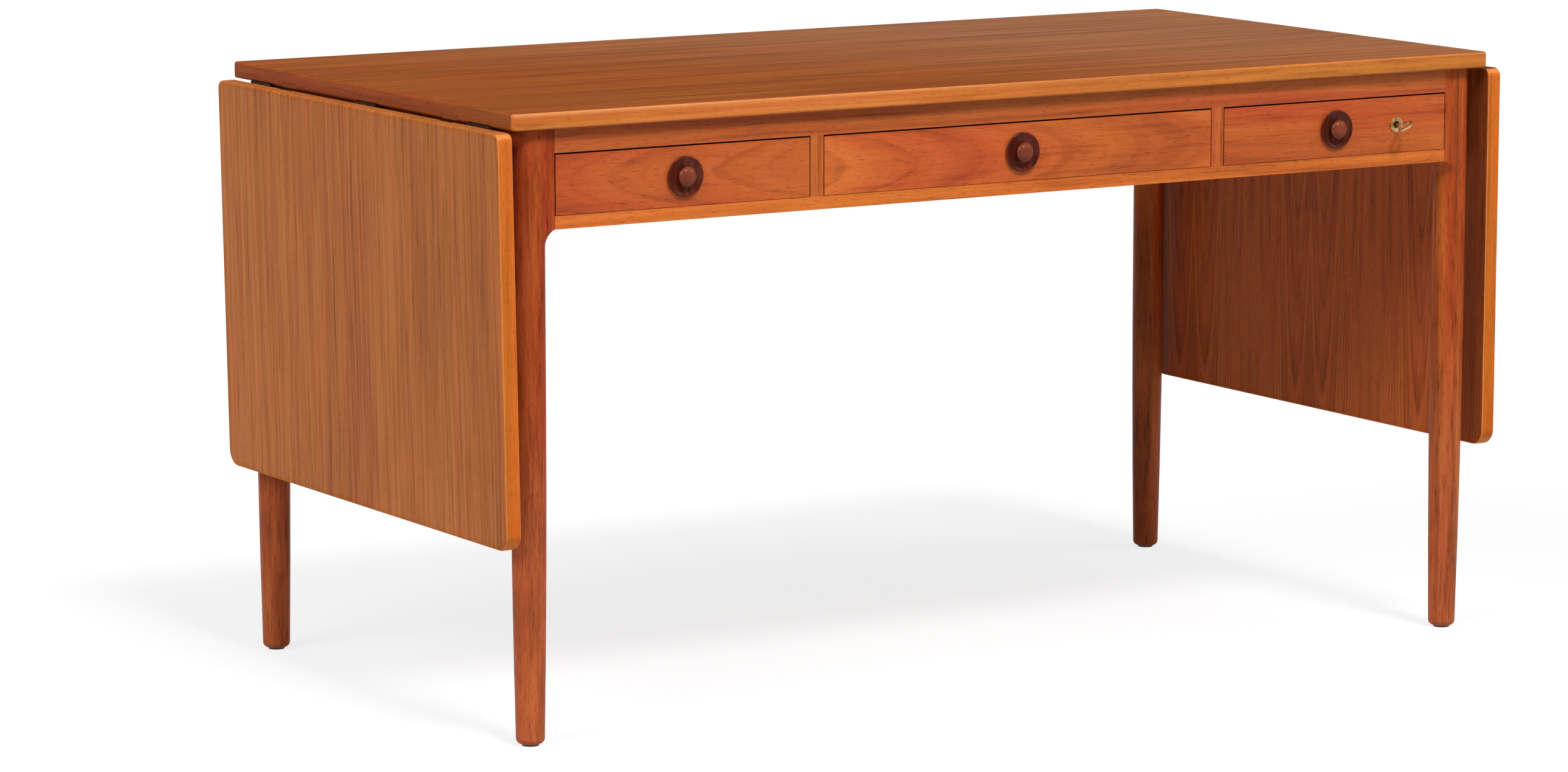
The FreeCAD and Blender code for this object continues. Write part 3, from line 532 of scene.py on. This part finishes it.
def leaf_figure(graph, place, side, half_width):
    """Straight veneer on a leaf's outer face, and book-matched crown veneer, darkened at its ends by painted
    shade, on the inner.
    """
    outer = board_figure(graph, place, LEAF_TEAK)
    page = graph.math("PINGPONG", graph.add(place["y"], -BOOK_SEAM), BOOK_WIDTH)
    heart = graph.add(graph.times(place["z"], INNER_HEART_SLOPE), INNER_HEART_DEPTH)
    colour, height, roughness = wood_figure(graph, place["z"], page, heart, INNER_TEAK)
    # Painted shade on the inner face near its front and rear ends
    from_end = graph.minus(half_width, graph.absolute(place["y"]))
    shade = graph.span(from_end, *INNER_END_SHADE_SPAN, INNER_END_PAINTED_SHADE, 1.0)
    inner = (graph.shade(colour, shade), height, roughness)
    outside = graph.math("GREATER_THAN", graph.times(graph.facing("x"), side), 0.0)
    return graph.blend(outside, inner, outer)


def leaf_material(name, side, half_width):
    graph = Graph(name)
    figure = leaf_figure(graph, graph.position(), side, half_width)
    return graph.surface(*figure, specular=LEAF_TEAK.specular)


def with_painted_highlight(graph, figure, highlight_share, wood):
    """A lipping with a painted highlight, palest where the highlight share is 1."""
    pale = graph.times(highlight_share, wood.arris)
    return (graph.mix(pale, figure[0], srgb(*ARRIS_HIGHLIGHT_COLOUR)), *figure[1:])


def highlight_band(graph, place, node):
    """The upper edge of a lipping, where the painted highlight is strongest at the left end of the desk."""
    from_top = graph.minus(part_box(node)[1].z, place["z"])
    edge = graph.span(from_top, *HIGHLIGHT_DEPTH, 1.0, 0.0)
    return graph.times(edge, graph.span(place["x"], *HIGHLIGHT_REACH, 1.0, 0.0))


def leaf_lipping_material(name, node, side):
    """Lippings under the veneer, with the grain down the two upright edges and along the other two."""
    graph = Graph(name)
    place = graph.position()
    low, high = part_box(node)
    from_end = graph.minus(high.y, graph.absolute(place["y"]))
    from_foot = graph.add(place["z"], -low.z)
    from_hinge = graph.minus(high.z, place["z"])
    near_end = graph.math("LESS_THAN", from_end, LEAF_LIPPING_WIDTH)
    upright = graph.times(graph.math("LESS_THAN", from_end, from_foot), near_end)
    along = graph.choose(upright, place["y"], place["z"])
    across = graph.choose(upright, place["z"], place["y"])
    solid = wood_figure(graph, along, across, place["x"], LEAF_LIPPING_TEAK)
    # Painted highlight on the rounded edges of the leaf lippings
    edge = with_painted_highlight(graph, solid, graph.arris(), LEAF_LIPPING_TEAK)
    off_end = graph.math("GREATER_THAN", from_end, LEAF_LIPPING_WIDTH)
    hinge_side = graph.times(graph.math("LESS_THAN", from_hinge, LEAF_HINGE_BAND), off_end)
    flat = graph.span(graph.absolute(graph.facing("x")), *LEAF_VENEER_FACING)
    veneered = graph.math("MAXIMUM", flat, hinge_side)
    figure = graph.blend(veneered, edge, leaf_figure(graph, place, side, high.y))
    return graph.surface(*figure, specular=LEAF_LIPPING_TEAK.specular)


def top_lipping_material(name, wood):
    """A lipping on the edge of the top, with the top's veneer laid over it."""
    graph = Graph(name)
    place = graph.position()
    veneered = graph.span(graph.absolute(graph.facing("z")), *TOP_VENEER_FACING)
    edge = board_figure(graph, place, wood)
    if wood.arris:
        # Painted highlight along the upper arris of the front and rear lippings
        edge = with_painted_highlight(graph, edge, highlight_band(graph, place, "top_front_lipping"), wood)
    return graph.surface(*graph.blend(veneered, edge, top_figure(graph, place)), specular=wood.specular)


def knob_material(name):
    """Polished dark wood, with a painted highlight making the button that fingers pull paler."""
    graph = Graph(name)
    place = graph.position()
    colour, height, roughness = board_figure(graph, place, ROSEWOOD)
    from_front = graph.minus(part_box("centre_drawer_front")[0].y, place["y"])
    # Painted highlight on the button
    highlight_share = graph.span(from_front, *BUTTON_SPAN, 0.0, BUTTON_HIGHLIGHT_SHARE)
    colour = graph.mix(highlight_share, colour, srgb(*ROSEWOOD_HIGHLIGHT_COLOUR))
    return graph.surface(colour, height, roughness, specular=ROSEWOOD.specular)


# Brass: colours of its cloudy patches, and features of clouds and scratches for each metre along x, y and z
OLD_BRASS = ((158, 124, 82), (206, 172, 122), (232, 204, 158))
# Painted shade: a much darker copy of the brass for the hinges and the lock plug, which sit in shaded gaps
SHADED_BRASS = ((52, 34, 20), (80, 54, 30), (110, 78, 46))
BRASS_STOPS = (0.30, 0.55, 0.80)
BRASS_CLOUDS = (160.0, 160.0, 160.0)
BRASS_SCRATCHES = (300.0, 300.0, 2600.0)
CLOUD_SPAN = (0.3, 0.7)
CLOUD_ROUGHNESS = (0.42, 0.22)
SCRATCH_ROUGHNESS = 0.1

# Steel: brushed along x, stained in patches, with a teak face past the tip on the lopers
STEEL_LIGHT = (176, 174, 170)
STEEL_DARK = (120, 118, 116)
STEEL_BRUSHING = (40.0, 3000.0, 3000.0)
STEEL_STAINS = (60.0, 60.0, 60.0)
STAIN_SPAN = (0.4, 0.7)
STEEL_ROUGHNESS = 0.28
BRUSHED_ROUGHNESS = 0.2
LOPER_TIP = 0.6816

# Glides: scuffed plastic
GLIDE_COLOURS = ((38, 34, 32), (74, 68, 64))
GLIDE_STOPS = (0.35, 0.75)
GLIDE_SCUFFS = (500.0, 500.0, 500.0)
SCUFF_SPAN = (0.3, 0.7)
SCUFF_ROUGHNESS = (0.45, 0.65)


def brass_material(name, colours):
    """Old brass: dull, browner in the cloudy patches, finely scratched."""
    graph = Graph(name)
    place = graph.position()
    cloud = graph.speckle(place, BRASS_CLOUDS)
    scratch = graph.speckle(place, BRASS_SCRATCHES, detail=1.0)
    colour = graph.ramp(cloud, BRASS_STOPS, colours)
    dullness = graph.span(cloud, *CLOUD_SPAN, *CLOUD_ROUGHNESS)
    roughness = graph.add(dullness, graph.times(scratch, SCRATCH_ROUGHNESS))
    return graph.surface(colour, scratch, roughness, depth=METAL_BUMP, metallic=1.0)


def steel_figure(graph, place):
    """Colour, height and roughness of brushed, stained steel."""
    brushed = graph.speckle(place, STEEL_BRUSHING, detail=2.0)
    stain = graph.span(graph.speckle(place, STEEL_STAINS), *STAIN_SPAN)
    colour = graph.mix(stain, srgb(*STEEL_LIGHT), srgb(*STEEL_DARK))
    roughness = graph.add(graph.times(brushed, BRUSHED_ROUGHNESS), STEEL_ROUGHNESS)
    return colour, brushed, roughness


def steel_material(name):
    graph = Graph(name)
    return graph.surface(*steel_figure(graph, graph.position()), depth=METAL_BUMP, metallic=1.0)


def loper_material(name):
    """Steel slide with a teak face on its outer end, cut from the lipping around it."""
    graph = Graph(name)
    place = graph.position()
    steel = steel_figure(graph, place)
    teak = wood_figure(graph, place["y"], place["z"], place["x"], END_LIPPING_TEAK)
    tip = graph.math("GREATER_THAN", graph.absolute(place["x"]), LOPER_TIP)
    colour = graph.mix(tip, steel[0], teak[0])
    roughness = graph.choose(tip, steel[2], teak[2])
    metallic = graph.choose(tip, 1.0, 0.0)
    return graph.surface(colour, None, roughness, metallic=metallic, specular=END_LIPPING_TEAK.specular)


def glide_material(name):
    """Hard dark plastic, scuffed grey."""
    graph = Graph(name)
    scuff = graph.speckle(graph.position(), GLIDE_SCUFFS)
    colour = graph.ramp(scuff, GLIDE_STOPS, GLIDE_COLOURS)
    return graph.surface(colour, scuff, graph.span(scuff, *SCUFF_SPAN, *SCUFF_ROUGHNESS), depth=GLIDE_BUMP)


def dress(material, *nodes):
    """Gives nodes of the frame one material."""
    for node in nodes:
        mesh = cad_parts[node].data
        mesh.materials.clear()
        mesh.materials.append(material)


def dress_top_and_leaves():
    dress(top_material("teak_top"), "top_panel")
    dress(top_lipping_material("teak_edge", LIPPING_TEAK), "top_front_lipping", "top_rear_lipping")
    dress(top_lipping_material("teak_end", END_LIPPING_TEAK), "top_end_lippings")
    for name, side in (("left", -1.0), ("right", 1.0)):
        lippings = name + "_leaf_lippings"
        dress(leaf_material("teak_leaf_" + name, side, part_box(lippings)[1].y), name + "_leaf_panel")
        dress(leaf_lipping_material("teak_leaf_edge_" + name, lippings, side), lippings)


def dress_frame():
    dress(wood_material("teak_rail", TOP_RAIL_TEAK), "front_top_rail")
    dress(wood_material("teak_apron", FRAME_TEAK), "rear_apron")
    dress(wood_material("teak_low_rail", LOW_RAIL_TEAK), "front_bottom_rail")
    dress(wood_material("teak_end_rail", END_RAIL_TEAK), "left_end_rail", "right_end_rail")
    dress(wood_material("teak_post", POST_TEAK), "left_partition", "right_partition")
    dress(leg_material("teak_leg"), *[corner + "_leg" for corner in CORNERS])


def dress_drawers():
    knobs = knob_material("rosewood")
    sides = wood_material("drawer_wood_long", DRAWER_WOOD)
    backs = wood_material("drawer_wood_wide", DRAWER_BACK_WOOD)
    for name, figure in DRAWER_FIGURES.items():
        dress(wood_material("teak_drawer_" + name, figure), name + "_drawer_front")
        dress(knobs, name + "_drawer_knob")
        dress(sides, name + "_drawer_sides", name + "_drawer_bottom")
        dress(backs, name + "_drawer_back")
    inner = wood_material("inner_wood", INNER_WOOD)
    dress(inner, "drawer_runners", "drawer_stops", "drawer_kickers", "drawer_guides")


def dress_metal():
    brass = brass_material("brass_old", OLD_BRASS)
    dress(brass, "strike_plate", "lock_case", "lock_bolt", "lock_screws", "key_escutcheon", "key")
    # Painted shade on the hinges and the lock plug
    shaded_brass = brass_material("brass_shaded", SHADED_BRASS)
    dress(shaded_brass, "hinge_top_plates", "hinge_pins", "hinge_top_screws", "lock_plug")
    for side in ("left", "right"):
        dress(shaded_brass, side + "_leaf_hinge_plates", side + "_leaf_hinge_screws")
    dress(steel_material("steel_screw"), "top_fixing_screws", "loper_guide_screws")
    dress(loper_material("steel_loper"), *[corner + "_loper" for corner in CORNERS])
    dress(glide_material("glide_plastic"), "foot_glides")


def seen_directly(graph):
    """1 for rays from the camera and through gloss or glass, 0 for soft light."""
    path = graph.node("LightPath")
    total = path.outputs["Is Camera Ray"]
    for name in ("Is Glossy Ray", "Is Transmission Ray"):
        total = graph.math("MAXIMUM", total, path.outputs[name])
    return total


def floor_material():
    """White where it is seen, with the object's shadow kept, and plain pale grey as a bounce."""
    graph = Graph("floor_paper")
    bounce = graph.node("BsdfDiffuse")
    bounce.inputs["Color"].default_value = FLOOR_BOUNCE
    shadowed = graph.node("BsdfDiffuse")
    shadowed.inputs["Color"].default_value = FLOOR_SHADOWED
    glow = graph.node("Emission")
    glow.inputs["Strength"].default_value = FLOOR_GLOW
    seen = graph.node("AddShader")
    graph.feed(seen.inputs[0], shadowed.outputs[0])
    graph.feed(seen.inputs[1], glow.outputs[0])
    both = graph.node("MixShader")
    graph.feed(both.inputs[0], seen_directly(graph))
    graph.feed(both.inputs[1], bounce.outputs[0])
    graph.feed(both.inputs[2], seen.outputs[0])
    output = graph.node("OutputMaterial")
    graph.feed(output.inputs["Surface"], both.outputs[0])
    return graph.material


def lay_floor():
    half = FLOOR_HALF
    mesh = bpy.data.meshes.new("floor")
    corners = [(-half, -half, 0.0), (half, -half, 0.0), (half, half, 0.0), (-half, half, 0.0)]
    mesh.from_pydata(corners, [], [(0, 1, 2, 3)])
    mesh.materials.append(floor_material())
    floor = bpy.data.objects.new("floor", mesh)
    bpy.context.collection.objects.link(floor)


def light_world():
    """A studio that is white low down all round and grey above."""
    world = bpy.data.worlds.new("studio")
    world.use_nodes = True
    tree = world.node_tree
    tree.nodes.clear()
    coordinates = tree.nodes.new("ShaderNodeTexCoord")
    apart = tree.nodes.new("ShaderNodeSeparateXYZ")
    tree.links.new(coordinates.outputs["Generated"], apart.inputs[0])
    level = tree.nodes.new("ShaderNodeMapRange")
    level.interpolation_type = "SMOOTHSTEP"
    tree.links.new(apart.outputs[2], level.inputs[0])
    for socket, value in zip(list(level.inputs)[1:5], (HORIZON_TOP, SKY_START, 1.0, SKY_LEVEL)):
        socket.default_value = value
    background = tree.nodes.new("ShaderNodeBackground")
    tree.links.new(level.outputs[0], background.inputs["Strength"])
    output = tree.nodes.new("ShaderNodeOutputWorld")
    tree.links.new(background.outputs[0], output.inputs["Surface"])
    bpy.context.scene.world = world


def hang_lamps():
    for name, (left, up, strength, width) in LAMPS.items():
        lamp = bpy.data.lights.new(name, "SUN")
        lamp.energy = strength
        lamp.angle = math.radians(width)
        holder = bpy.data.objects.new(name, lamp)
        holder.rotation_euler = (math.radians(90.0 - up), 0.0, math.radians(-left))
        bpy.context.collection.objects.link(holder)


def place_camera():
    lens = bpy.data.cameras.new("camera")
    lens.lens = CAMERA_LENS
    lens.sensor_width = SENSOR_WIDTH
    lens.sensor_fit = "HORIZONTAL"
    camera = bpy.data.objects.new("camera", lens)
    camera.location = CAMERA_PLACE
    camera.rotation_euler = (math.radians(90.0 - CAMERA_PITCH), 0.0, math.radians(-CAMERA_YAW))
    bpy.context.collection.objects.link(camera)
    bpy.context.scene.camera = camera


dress_top_and_leaves()
dress_frame()
dress_drawers()
dress_metal()
lay_floor()
light_world()
hang_lamps()
place_camera()
bpy.context.scene.view_settings.view_transform = "Standard"
